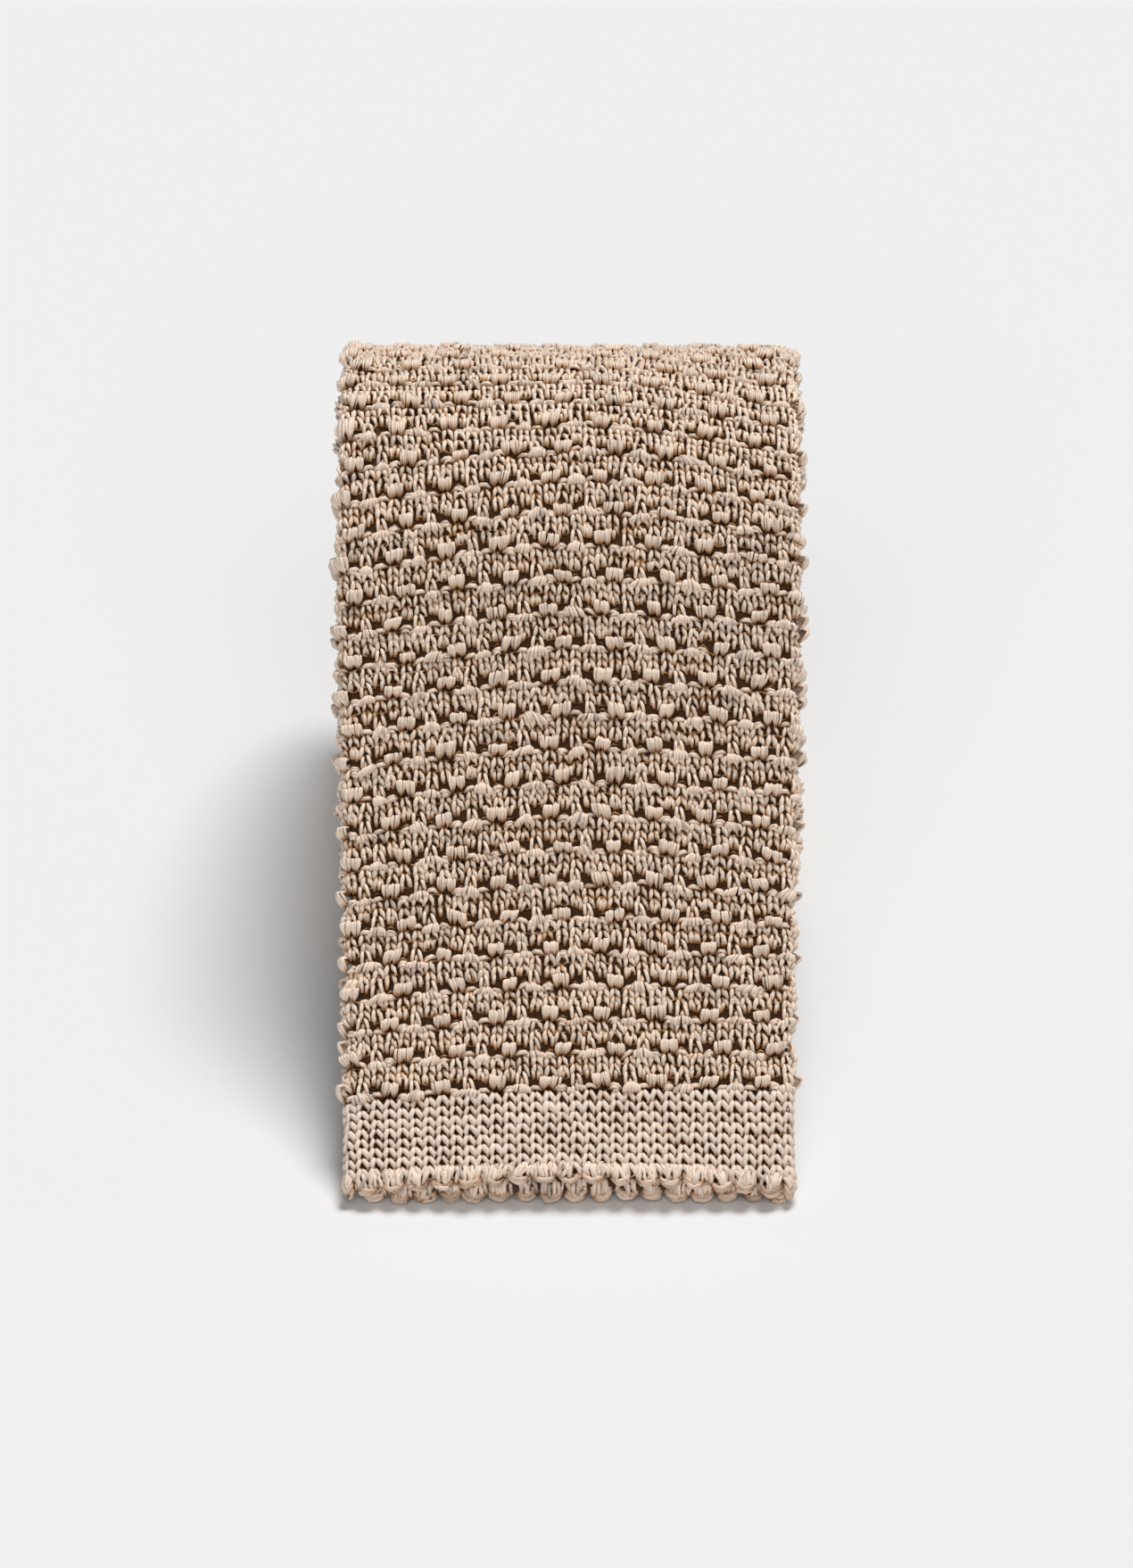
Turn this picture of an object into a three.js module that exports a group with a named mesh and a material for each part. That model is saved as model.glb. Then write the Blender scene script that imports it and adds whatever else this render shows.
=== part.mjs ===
// A square-ended knit tie, rolled up and set down on its roll, with the end of its blade running
// down in front to the surface that it lies on.
// Millimetres, +Z up. X runs across the tie and -Y is the front. The tie is one knitted tube pressed
// flat, so every stretch of it is two knitted layers with a slit between them, joined at both sides.
// Places on it are given by the length along it from the scalloped end of the blade, by the place
// across it and by the depth below its front face.

import * as THREE from "three";

// The tie laid out flat
const tieLength = 1450; // along the middle of the fabric, from end to end
const bladeLength = 600; // from the scalloped end to the start of the neck
const neckLength = 370; // the narrow stretch that goes round the collar
const taperLength = 60; // over which a width changes to the next one
const mouthWidth = 60; // at the scalloped end, where the tube stands a little open
const bladeWidth = 63.5;
const neckWidth = 34;
const tailWidth = 45;

// The fabric
const layerThickness = 1.35; // one knitted layer
const layerGap = 0.3; // the slit between the front layer and the back layer
const rowPitch = 4.7; // from one row of raised blocks to the next
const edgeBump = 0.45; // how far the sides swell and draw in along the pattern

// The end of the blade
const hemLength = 12; // the band of plain stitches
const scallopLength = 3.2; // from the band to the tip of a scallop
const scallopNotch = 1.5; // how deep the edge dips between two scallops
const scallopCount = 17; // across one layer
const scallopTip = 0.4; // how far the tips are rounded off
const mouthRise = 1.8; // the front layer stands off the back layer by this in the middle
const mouthDraw = 1.4; // and its scallops end this far short of the back layer's

// The roll
const topSlope = 52; // degrees, where the blade leaves the roll to run down in front
const footSlope = 35; // degrees, where it meets the surface, sagging a little on its way
const coreRadius = 5; // to the outer face of the innermost turn
const turnGap = 0.3; // between two turns of the roll
const facetsPerTurn = 24;

const pieceGap = 0.3; // between two pieces of the tie
const sideSegments = 4; // round the half circle of each side
const mouthColumns = 12; // across the hem, which is arched
const scallopSegments = 6; // across one scallop

// Sizes that follow from these
const tubeThickness = 2 * layerThickness + layerGap;
const turnPitch = tubeThickness + turnGap;
const facetAngle = (2 * Math.PI) / facetsPerTurn;
const rampTop = THREE.MathUtils.degToRad(topSlope);
const rampFoot = THREE.MathUtils.degToRad(footSlope);
const tangentAngle = Math.PI / 2 + rampTop; // where the ramp leaves the roll, from +Y towards +Z

// The ramp is an arc that falls less steeply the further down it is. This is the straight way between
// two points of it, from the slopes at both.
function chordOf(length, upperSlope, lowerSlope) {
  const half = (upperSlope - lowerSlope) / 2;
  const straight = Math.abs(half) < 1e-6 ? length : (length * Math.sin(half)) / half;
  const mean = (upperSlope + lowerSlope) / 2;
  return new THREE.Vector2(-straight * Math.cos(mean), -straight * Math.sin(mean));
}

// The roll is as big as the length of tie in it. The length of a spiral from its outer radius to its
// inner one is pi times the difference of their squares over the pitch, and the ramp's length grows
// with the roll, so the radius is found by a few steps of trial.
const bottomTheta = tangentAngle + Math.PI / 2 + facetAngle / 2; // the last corner of the lowest facet

function rollOf(radius) {
  const bottomRadius = radius - (turnPitch * bottomTheta) / (2 * Math.PI);
  const centreZ = bottomRadius * Math.cos(facetAngle / 2);
  const drop = centreZ + radius * Math.sin(tangentAngle) - tubeThickness * Math.cos(rampFoot);
  const rampLength = drop / -chordOf(1, rampTop, rampFoot).y + scallopTip;
  const middleRadius = coreRadius - tubeThickness / 2;
  const spiralLength =
    (Math.PI * ((radius - tubeThickness / 2) ** 2 - middleRadius ** 2)) / turnPitch;
  return { radius, centreZ, rampLength, spiralLength };
}

function rollForLength(length) {
  let low = coreRadius;
  let high = length;
  for (let step = 0; step < 60; step++) {
    const radius = (low + high) / 2;
    const tried = rollOf(radius);
    if (tried.rampLength + tried.spiralLength > length) high = radius;
    else low = radius;
  }
  return rollOf(low);
}

const roll = rollForLength(tieLength);

// Turned angle along the roll, from the top of the ramp, at a length along the tie, and back again.
function thetaAt(along) {
  const outer = roll.radius - tubeThickness / 2;
  const wound = Math.max(0, along - roll.rampLength);
  const left = Math.sqrt(Math.max(0, outer ** 2 - (turnPitch * wound) / Math.PI));
  return ((outer - left) * 2 * Math.PI) / turnPitch;
}

function alongAt(theta) {
  const outer = roll.radius - tubeThickness / 2;
  return roll.rampLength + outer * theta - (turnPitch * theta ** 2) / (4 * Math.PI);
}

// The corners of the roll's facets lie half a facet to either side of straight down, so that the
// roll has one flat facet to rest on.
const firstCorner = (() => {
  const offset = (tangentAngle + Math.PI / 2 - facetAngle / 2) % facetAngle;
  return offset < facetAngle / 100 ? offset + facetAngle : offset;
})();

function spiralPoint(theta, depth) {
  const angle = tangentAngle - theta;
  const radius = roll.radius - (turnPitch * theta) / (2 * Math.PI) - depth;
  return new THREE.Vector2(radius * Math.cos(angle), roll.centreZ + radius * Math.sin(angle));
}

// A point between two corners lies on the flat facet between them.
function facetPoint(theta, depth) {
  const count = Math.floor((theta - firstCorner) / facetAngle + 1e-9);
  const from = count < 0 ? 0 : firstCorner + count * facetAngle;
  const to = firstCorner + (count + 1) * facetAngle;
  return spiralPoint(from, depth).lerp(spiralPoint(to, depth), (theta - from) / (to - from));
}

// The place in space of a point on the tie.
function place(along, across, depth) {
  const down = roll.rampLength - along;
  let point;
  if (down >= 0) {
    const slope = rampTop - ((rampTop - rampFoot) * down) / roll.rampLength;
    const inward = new THREE.Vector2(Math.sin(slope), -Math.cos(slope));
    point = spiralPoint(0, 0).add(chordOf(down, rampTop, slope)).addScaledVector(inward, depth);
  } else {
    point = facetPoint(thetaAt(along), depth);
  }
  return new THREE.Vector3(across, point.x, Math.max(0, point.y));
}

// Width along the tie
const widthRows = [
  { along: 0, width: mouthWidth },
  { along: scallopLength + hemLength, width: mouthWidth },
  { along: roll.rampLength, width: bladeWidth },
  { along: bladeLength - taperLength, width: bladeWidth },
  { along: bladeLength, width: neckWidth },
  { along: bladeLength + neckLength - taperLength, width: neckWidth },
  { along: bladeLength + neckLength, width: tailWidth },
  { along: tieLength, width: tailWidth },
];

function widthAt(along) {
  const next = widthRows.findIndex((row) => row.along >= along);
  if (next <= 0) return widthRows[0].width;
  const before = widthRows[next - 1];
  const after = widthRows[next];
  const share = (along - before.along) / (after.along - before.along);
  return before.width + share * (after.width - before.width);
}

// The sides swell where the raised blocks reach them, every second row, and lie straight in the hem.
function swellAt(along) {
  const fromHem = along - scallopLength - hemLength;
  if (fromHem <= 0 || along >= roll.rampLength) return 0;
  return edgeBump * Math.sin((Math.PI * fromHem) / rowPitch);
}

// How far the front layer stands off the back layer: most in the middle of the mouth, nothing at its
// sides and where the hem ends.
function riseAt(along, share) {
  const open = Math.max(0, 1 - along / (scallopLength + hemLength));
  return mouthRise * open ** 2 * (1 - share ** 2);
}

// One section of the tube: an outer and an inner ring of points that hold the place across the tie,
// as a share of the flat width inside the rounded sides, and the depth.
function sectionRings(columns) {
  const half = tubeThickness / 2;
  const outer = [];
  const inner = [];
  const across = (column) => (2 * column) / columns - 1;
  const side = (turn) => ({ out: half * Math.cos(turn), depth: half - half * Math.sin(turn) });
  for (let c = 0; c <= columns; c++) {
    outer.push({ share: across(c), out: 0, depth: 0, front: true });
    inner.push({ share: across(c), out: 0, depth: layerThickness, front: true });
  }
  for (let k = 1; k < sideSegments; k++) {
    outer.push({ share: 1, ...side(Math.PI / 2 - (k * Math.PI) / sideSegments), front: false });
  }
  for (let c = columns; c >= 0; c--) {
    outer.push({ share: across(c), out: 0, depth: tubeThickness, front: false });
    inner.push({ share: across(c), out: 0, depth: layerThickness + layerGap, front: false });
  }
  for (let k = sideSegments - 1; k > 0; k--) {
    const { out, depth } = side(Math.PI / 2 - (k * Math.PI) / sideSegments);
    outer.push({ share: -1, out: -out, depth, front: false });
  }
  return { outer, inner };
}

function placeRing(ring, along) {
  const flatHalf = (widthAt(along) + swellAt(along)) / 2 - tubeThickness / 2;
  return ring.map(({ share, out, depth, front }) =>
    place(along, share * flatHalf + out, depth - (front ? riseAt(along, share) : 0)),
  );
}

// Lengths along the tie at which a tube from one end to the other has a section: its ends, the steps
// of the pattern down the ramp, the corners of the roll and the places where the width changes.
function stations(start, end) {
  const inside = [];
  for (let a = scallopLength + hemLength; a < roll.rampLength; a += rowPitch / 2) inside.push(a);
  for (let share = 0.25; share < 1; share += 0.25) inside.push(scallopLength + share * hemLength);
  inside.push(roll.rampLength, ...widthRows.map((row) => row.along));
  const lastTheta = thetaAt(end);
  for (let theta = firstCorner; theta < lastTheta; theta += facetAngle) inside.push(alongAt(theta));
  const kept = [start];
  for (const along of inside.sort((a, b) => a - b)) {
    if (along > kept.at(-1) + pieceGap && along < end - pieceGap) kept.push(along);
  }
  return [...kept, end];
}

function closedMesh(points, triangles) {
  const geometry = new THREE.BufferGeometry().setFromPoints(points);
  geometry.setIndex(triangles.flat());
  geometry.computeVertexNormals();
  return geometry;
}

// The two triangles between a pair of points on one ring and the same pair on the next.
function quad(a, b, c, d) {
  return [
    [a, b, c],
    [a, c, d],
  ];
}

// A flattened tube, open through its slit at both ends.
function tubeGeometry(start, end, columns = 1) {
  const { outer, inner } = sectionRings(columns);
  const perSection = outer.length + inner.length;
  const points = [];
  const triangles = [];
  const alongs = stations(start, end);
  for (const along of alongs) points.push(...placeRing(outer, along), ...placeRing(inner, along));
  for (let s = 0; s < alongs.length - 1; s++) {
    const here = s * perSection;
    const there = here + perSection;
    outer.forEach((_, i) => {
      const j = (i + 1) % outer.length;
      triangles.push(...quad(here + i, here + j, there + j, there + i));
    });
    inner.forEach((_, i) => {
      const j = (i + 1) % inner.length;
      const at = outer.length;
      triangles.push(...quad(here + at + j, here + at + i, there + at + i, there + at + j));
    });
  }
  const flat = ({ share, out, depth }) => new THREE.Vector2((share * bladeWidth) / 2 + out, -depth);
  const cap = THREE.ShapeUtils.triangulateShape(outer.map(flat), [inner.map(flat)]);
  const last = (alongs.length - 1) * perSection;
  for (const [a, b, c] of cap) triangles.push([a, b, c], [last + a, last + c, last + b]);
  return closedMesh(points, triangles);
}

// A row of scallops along one layer's edge, from the tips back to the hem. Its section is a slab
// with a rounded nose.
function scallopGeometry({ shortBy, top, front }) {
  const back = scallopLength;
  const flatHalf = widthAt(back) / 2 - tubeThickness / 2;
  const columns = scallopCount * scallopSegments;
  const perSection = 5;
  const points = [];
  const triangles = [];
  for (let c = 0; c <= columns; c++) {
    const share = (2 * c) / columns - 1;
    const lobe = (2 * (c % scallopSegments)) / scallopSegments - 1;
    const dip = scallopNotch * (1 - Math.sqrt(1 - lobe ** 2));
    const nose = shortBy * (1 - share ** 2) + dip;
    const rise = front ? riseAt(nose, share) : 0;
    const across = share * flatHalf;
    const bottom = top + layerThickness;
    points.push(
      place(back, across, top - (front ? riseAt(back, share) : 0)),
      place(nose + scallopTip, across, top - rise),
      place(nose, across, (top + bottom) / 2 - rise),
      place(nose + scallopTip, across, bottom - rise),
      place(back, across, bottom - (front ? riseAt(back, share) : 0)),
    );
  }
  for (let c = 0; c < columns; c++) {
    for (let i = 0; i < perSection; i++) {
      const j = (i + 1) % perSection;
      const here = c * perSection;
      const there = here + perSection;
      triangles.push(...quad(here + i, here + j, there + j, there + i));
    }
  }
  const last = columns * perSection;
  for (let i = 1; i < perSection - 1; i++) {
    triangles.push([0, i + 1, i], [last, last + i, last + i + 1]);
  }
  return closedMesh(points, triangles);
}

function piece(name, color, geometry) {
  const material = new THREE.MeshStandardMaterial({ color, roughness: 0.85, metalness: 0 });
  const mesh = new THREE.Mesh(geometry, material);
  mesh.name = name;
  return mesh;
}

const patternColor = 0xa58d78;
const hemColor = 0xb6a190;
const scallopColor = 0xa48f80;
const hemStart = scallopLength + pieceGap;
const bladeStart = scallopLength + hemLength + pieceGap;
const neckStart = bladeLength + pieceGap;
const tailStart = bladeLength + neckLength + pieceGap;

const tie = new THREE.Group();
tie.add(
  piece(
    "hem_scallops_front",
    scallopColor,
    scallopGeometry({ shortBy: mouthDraw, top: 0, front: true }),
  ),
  piece(
    "hem_scallops_back",
    scallopColor,
    scallopGeometry({ shortBy: 0, top: layerThickness + layerGap, front: false }),
  ),
  piece("hem_band", hemColor, tubeGeometry(hemStart, scallopLength + hemLength, mouthColumns)),
  piece("blade", patternColor, tubeGeometry(bladeStart, bladeLength)),
  piece("neck", patternColor, tubeGeometry(neckStart, bladeLength + neckLength)),
  piece("tail", patternColor, tubeGeometry(tailStart, tieLength)),
);

// The origin lies on the surface, under the middle of the rolled tie.
const extent = new THREE.Box3().setFromObject(tie);
tie.position.y = -(extent.min.y + extent.max.y) / 2;

export default tie;
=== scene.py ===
# A rolled knit tie: real yarn loops laid over a knitted tube, with the pattern's blocks and holes.
# Lengths in the dictionaries are millimetres. The yarn is worked out on the tie laid flat, as
# across, along and loft, and then carried to its place on the roll or the run in front of it.

import bpy
import numpy as np
from math import cos, pi, radians, sin
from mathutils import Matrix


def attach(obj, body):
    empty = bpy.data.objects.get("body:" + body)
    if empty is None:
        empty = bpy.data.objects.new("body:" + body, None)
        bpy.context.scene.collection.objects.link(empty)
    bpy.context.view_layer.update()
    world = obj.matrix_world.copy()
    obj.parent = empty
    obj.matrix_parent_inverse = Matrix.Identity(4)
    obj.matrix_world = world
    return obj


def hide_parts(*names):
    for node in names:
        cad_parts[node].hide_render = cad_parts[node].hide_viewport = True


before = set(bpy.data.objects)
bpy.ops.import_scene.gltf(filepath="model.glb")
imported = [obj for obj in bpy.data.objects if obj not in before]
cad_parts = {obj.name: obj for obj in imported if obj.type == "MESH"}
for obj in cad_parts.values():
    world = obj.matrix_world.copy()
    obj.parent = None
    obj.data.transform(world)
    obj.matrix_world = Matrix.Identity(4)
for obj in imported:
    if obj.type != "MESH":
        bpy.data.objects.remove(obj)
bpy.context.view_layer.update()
print("frame loaded")

# A new node with its settings. Each input is set to a value or joined to another node's output.
def addNode(tree, kind, inputs, **settings):
    node = tree.nodes.new(kind)
    for label, value in settings.items():
        setattr(node, label, value)
    for label, value in inputs.items():
        if isinstance(value, bpy.types.NodeSocket):
            tree.links.new(value, node.inputs[label])
        else:
            node.inputs[label].default_value = value
    return node


def newMaterial(name, roughness, specular):
    material = bpy.data.materials.new(name)
    material.use_nodes = True
    shader = material.node_tree.nodes["Principled BSDF"]
    shader.inputs["Roughness"].default_value = roughness
    shader.inputs["Specular IOR Level"].default_value = specular
    return material, material.node_tree, shader


# The camera, the floor and the light come first, then the tie.

cameraValues = {
    "aim": (0.0, 2.6, 36.0),
    "distance": 800.7,
    "elevation": 31.0,
    "lens": 131.4,
    "sensor": 36.0,
    "shift": (-0.0017, -0.0445),
    "nearest": 10.0,
}


def placeCamera(values):
    tilt = radians(values["elevation"])
    aim = values["aim"]
    data = bpy.data.cameras.new("photoCamera")
    data.lens = values["lens"]
    data.sensor_width = values["sensor"]
    data.shift_x, data.shift_y = values["shift"]
    data.clip_start = values["nearest"] / 1000
    camera = bpy.data.objects.new("photoCamera", data)
    camera.location = (
        aim[0] / 1000,
        (aim[1] - values["distance"] * cos(tilt)) / 1000,
        (aim[2] + values["distance"] * sin(tilt)) / 1000,
    )
    camera.rotation_euler = (pi / 2 - tilt, 0, 0)
    bpy.context.collection.objects.link(camera)
    bpy.context.scene.camera = camera


stageValues = {
    "floorSize": 8000.0,
    "floorColor": (0.86, 0.86, 0.86, 1),
    "skyColor": (1, 1, 1, 1),
    "skyStrength": 0.1,
    "paperGlow": 0.86,
    "keyStrength": 2.38,
    "keyAngle": 26.0,
    "keyTurn": (-19.0, 11.0, 0.0),
    "fillStrength": 1.0,
    "fillAngle": 45.0,
    "fillTurn": (50.0, 0.0, 0.0),
}


def buildStage(values):
    bpy.ops.mesh.primitive_plane_add(size=values["floorSize"] / 1000, location=(0, 0, 0))
    floor = bpy.context.object
    floor.name = "floor"
    paper, _, shader = newMaterial("palePaper", roughness=1.0, specular=0.0)
    shader.inputs["Base Color"].default_value = values["floorColor"]
    floor.data.materials.append(paper)
    world = bpy.data.worlds.new("studio")
    world.use_nodes = True
    tree = world.node_tree
    sky = tree.nodes["Background"]
    sky.inputs["Color"].default_value = values["skyColor"]
    sky.inputs["Strength"].default_value = values["skyStrength"]
    # beyond the floor's edge the room is as pale as the floor
    glow = addNode(tree, "ShaderNodeBackground", {
        "Color": values["skyColor"],
        "Strength": values["paperGlow"],
    })
    either = addNode(tree, "ShaderNodeMixShader", {
        "Fac": addNode(tree, "ShaderNodeLightPath", {}).outputs["Is Camera Ray"],
        1: sky.outputs["Background"],
        2: glow.outputs["Background"],
    })
    tree.links.new(either.outputs["Shader"], tree.nodes["World Output"].inputs["Surface"])
    bpy.context.scene.world = world
    for name in ("key", "fill"):
        light = bpy.data.lights.new(name, "SUN")
        light.energy = values[name + "Strength"]
        light.angle = radians(values[name + "Angle"])
        softbox = bpy.data.objects.new(name, light)
        softbox.rotation_euler = tuple(radians(turn) for turn in values[name + "Turn"])
        bpy.context.collection.objects.link(softbox)
    bpy.context.scene.view_settings.view_transform = "Standard"


# the frame's solids come in selected
for item in bpy.context.selected_objects:
    item.select_set(False)
placeCamera(cameraValues)
buildStage(stageValues)
print("camera, floor and light placed")

# The tie's own sizes, the same as the solids have.

tie = {
    "length": 1450.0,
    "bladeLength": 600.0,
    "neckLength": 370.0,
    "taperLength": 60.0,
    "mouthWidth": 60.0,
    "bladeWidth": 63.5,
    "neckWidth": 34.0,
    "tailWidth": 45.0,
    "layer": 1.35,
    "slit": 0.3,
    "hemLength": 12.0,
    "scallopLength": 3.2,
    "scallopTip": 0.4,
    "mouthRise": 1.8,
    "mouthDraw": 1.4,
    "edgeBump": 0.45,
    "rowPitch": 4.7,
    "topSlope": 52.0,
    "footSlope": 35.0,
    "coreRadius": 5.0,
    "turnGap": 0.3,
    "facetsPerTurn": 24,
    "rollMiddle": 27.58,
    "lowest": 0.04,
}

thick = 2 * tie["layer"] + tie["slit"]
sideRadius = thick / 2
turnPitch = thick + tie["turnGap"]
rampTop = radians(tie["topSlope"])
rampFoot = radians(tie["footSlope"])
leaveAngle = pi / 2 + rampTop
hemEnd = tie["scallopLength"] + tie["hemLength"]
neckStart = tie["bladeLength"]
tailStart = tie["bladeLength"] + tie["neckLength"]

tiny = 1e-9  # keeps a division away from nothing
leastRoot = 0.01  # keeps the spiral's root real at its core
halvings = 60  # steps of the search for the roll's radius


# The way down the arc of the run in front, from the slope at its top to a lower one.
def chordOf(length, lowerSlope):
    half = np.maximum((rampTop - lowerSlope) / 2, tiny)
    straight = length * np.sin(half) / half
    mean = (rampTop + lowerSlope) / 2
    return -straight * np.cos(mean), -straight * np.sin(mean)


# For a roll of this radius: its middle's height, the length of the run in front and the tie's own.
def rollOf(radius):
    facet = 2 * pi / tie["facetsPerTurn"]
    bottomTheta = leaveAngle + pi / 2 + facet / 2
    bottomRadius = radius - turnPitch * bottomTheta / (2 * pi)
    height = bottomRadius * cos(facet / 2)
    drop = height + radius * sin(leaveAngle) - thick * cos(rampFoot)
    run = drop / -float(chordOf(1.0, rampFoot)[1]) + tie["scallopTip"]
    inner = tie["coreRadius"] - thick / 2
    wound = pi * ((radius - thick / 2) ** 2 - inner ** 2) / turnPitch
    return height, run, run + wound


def radiusForLength(length):
    low, high = tie["coreRadius"], length
    for step in range(halvings):
        middle = (low + high) / 2
        if rollOf(middle)[2] > length:
            high = middle
        else:
            low = middle
    return low


rollRadius = radiusForLength(tie["length"])
rollHeight, rampLength = rollOf(rollRadius)[:2]
print("roll radius", round(rollRadius, 2), "run", round(rampLength, 2))

# The width grows over the run, and changes over the last stretch of the blade and of the neck.
widthStations = [
    (0, tie["mouthWidth"]),
    (hemEnd, tie["mouthWidth"]),
    (rampLength, tie["bladeWidth"]),
    (neckStart - tie["taperLength"], tie["bladeWidth"]),
    (neckStart, tie["neckWidth"]),
    (tailStart - tie["taperLength"], tie["neckWidth"]),
    (tailStart, tie["tailWidth"]),
    (tie["length"], tie["tailWidth"]),
]
widthAlong, widthValues = zip(*widthStations)


# Half the flat width of a layer, without the rounded sides.
def halfWidthAt(along):
    width = np.interp(along, widthAlong, widthValues)
    fromHem = along - hemEnd
    swell = tie["edgeBump"] * np.sin(pi * fromHem / tie["rowPitch"])
    width = width + np.where((fromHem > 0) & (along < rampLength), swell, 0)
    return width / 2 - sideRadius


def thetaAt(along):
    outer = rollRadius - thick / 2
    wound = np.maximum(0, along - rampLength)
    left = np.sqrt(np.maximum(leastRoot, outer ** 2 - turnPitch * wound / pi))
    return (outer - left) * 2 * pi / turnPitch


# From the flat tie to its place: across is measured round the outside of the tube, from the middle
# of the front layer, along from the scalloped end, and loft outwards from the surface.
def carry(points):
    across, along, loft = points[..., 0], points[..., 1], points[..., 2]
    half = halfWidthAt(along)
    around = 4 * half + 2 * pi * sideRadius
    across = across - around * np.round(across / around)
    hand = np.sign(across)
    over = np.abs(across) - half
    turn = np.clip(over / sideRadius, 0, pi)
    past = np.maximum(over - pi * sideRadius, 0)
    onFront = over <= 0
    reach = half + (sideRadius + loft) * np.sin(turn) - past
    x = np.where(onFront, across, hand * reach)
    depth = np.where(onFront, -loft, sideRadius - (sideRadius + loft) * np.cos(turn))
    share = np.clip(np.abs(x) / half, 0, 1)
    opened = np.clip(1 - along / hemEnd, 0, 1)
    rise = tie["mouthRise"] * opened ** 2 * (1 - share ** 2)
    depth = depth - np.where(depth < sideRadius, rise, 0)
    down = rampLength - along
    slope = rampTop - (rampTop - rampFoot) * down / rampLength
    chordY, chordZ = chordOf(down, slope)
    topY = rollRadius * cos(leaveAngle)
    topZ = rollHeight + rollRadius * sin(leaveAngle)
    rampY = topY + chordY + depth * np.sin(slope)
    rampZ = topZ + chordZ - depth * np.cos(slope)
    theta = thetaAt(along)
    angle = leaveAngle - theta
    radius = rollRadius - turnPitch * theta / (2 * pi) - depth
    onRamp = down >= 0
    y = np.where(onRamp, rampY, radius * np.cos(angle)) + tie["rollMiddle"]
    z = np.where(onRamp, rampZ, rollHeight + radius * np.sin(angle))
    return np.stack([x, y, np.maximum(z, tie["lowest"])], axis=-1)


# Yarn: strands are swept along their paths on the flat tie. A ring of points starts from a
# direction that the strand doesn't follow.

outwards = (0, 0, 1)
sideways = (1, 0, 0)

plyValues = {
    "twist": 1.1,
    "laneGap": 7.0,
    "laneRise": 0.35,
}


def sweep(paths, radius, sides, reference):
    step = np.gradient(paths, axis=1)
    step /= np.maximum(np.linalg.norm(step, axis=2, keepdims=True), tiny)
    side = np.cross(np.asarray(reference, float), step)
    side /= np.maximum(np.linalg.norm(side, axis=2, keepdims=True), tiny)
    up = np.cross(step, side)
    turn = 2 * pi * np.arange(sides) / sides
    radius = np.broadcast_to(radius, paths.shape[:2])[:, :, None, None]
    ring = np.cos(turn)[:, None] * side[:, :, None, :] + np.sin(turn)[:, None] * up[:, :, None, :]
    return paths[:, :, None, :] + radius * ring


# Where a fibre of the twisted strand runs, as a place for the texture of its fine lines.
def plyOf(paths, sides):
    stretch = np.diff(paths, axis=1, prepend=paths[:, :1])
    length = np.cumsum(np.linalg.norm(stretch, axis=2), axis=1)[:, :, None]
    turn = 2 * pi * np.arange(sides) / sides + plyValues["twist"] * length
    strand = np.arange(len(paths))[:, None, None]
    lane = plyValues["laneGap"] * strand + plyValues["laneRise"] * length
    return np.stack([np.cos(turn), np.sin(turn), np.broadcast_to(lane, turn.shape)], axis=-1)


class YarnHeap:
    def __init__(self):
        self.points, self.quads, self.caps = [], [], []
        self.loft, self.tone, self.ply = [], [], []
        self.count = 0

    # paths: strands x knots x 3; tone: one number for each strand, or one for each knot. The loft
    # paints shade into the colour, darker where a strand lies deep; shade, a painted shade of its
    # own, takes its place or lift adds to it.
    def add(self, paths, radius, sides, tone, reference=outwards, shade=None, lift=0.0):
        rings = sweep(paths, radius, sides, reference)
        strands, knots = paths.shape[:2]
        index = self.count + np.arange(strands * knots * sides).reshape(strands, knots, sides)
        nextSide = np.roll(index, -1, axis=2)
        quads = np.stack(
            [index[:, :-1], nextSide[:, :-1], nextSide[:, 1:], index[:, 1:]], axis=-1
        )
        self.quads.append(quads.reshape(-1, 4))
        self.caps.append((sides, index[:, 0, ::-1].reshape(-1, sides)))
        self.caps.append((sides, index[:, -1].reshape(-1, sides)))
        self.points.append(carry(rings).reshape(-1, 3))
        # the loft, or the shade given, becomes painted shade in the colour
        lit = rings[..., 2] if shade is None else np.broadcast_to(shade[..., None], rings.shape[:3])
        self.loft.append((lit + np.asarray(lift)[..., None]).reshape(-1))
        tone = np.asarray(tone, float)
        if tone.ndim == 1:
            tone = tone[:, None]
        self.tone.append(np.broadcast_to(tone[:, :, None], rings.shape[:3]).reshape(-1))
        self.ply.append(plyOf(paths, sides).reshape(-1, 3))
        self.count += strands * knots * sides

    def triangles(self):
        quads = sum(len(q) for q in self.quads)
        return 2 * quads + sum((sides - 2) * len(cap) for sides, cap in self.caps)

    def build(self, name, material):
        mesh = bpy.data.meshes.new(name)
        points = np.concatenate(self.points) / 1000
        mesh.vertices.add(len(points))
        mesh.vertices.foreach_set("co", points.ravel())
        groups = [(4, q) for q in self.quads] + self.caps
        corners = np.concatenate([faces.ravel() for size, faces in groups])
        sizes = np.concatenate([np.full(len(faces), size) for size, faces in groups])
        starts = np.concatenate([[0], np.cumsum(sizes)[:-1]])
        mesh.loops.add(len(corners))
        mesh.loops.foreach_set("vertex_index", corners.astype(np.int32))
        mesh.polygons.add(len(sizes))
        mesh.polygons.foreach_set("loop_start", starts.astype(np.int32))
        mesh.polygons.foreach_set("loop_total", sizes.astype(np.int32))
        mesh.update(calc_edges=True)
        for label, values in (("loft", self.loft), ("tone", self.tone)):
            layer = mesh.attributes.new(label, "FLOAT", "POINT")
            layer.data.foreach_set("value", np.concatenate(values).astype(np.float32))
        layer = mesh.attributes.new("ply", "FLOAT_VECTOR", "POINT")
        layer.data.foreach_set("vector", np.concatenate(self.ply).astype(np.float32).ravel())
        mesh.shade_smooth()
        piece = bpy.data.objects.new(name, mesh)
        bpy.context.collection.objects.link(piece)
        mesh.materials.append(material)
        print("  ", name, self.triangles(), "triangles")
        return piece


# Materials

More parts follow.
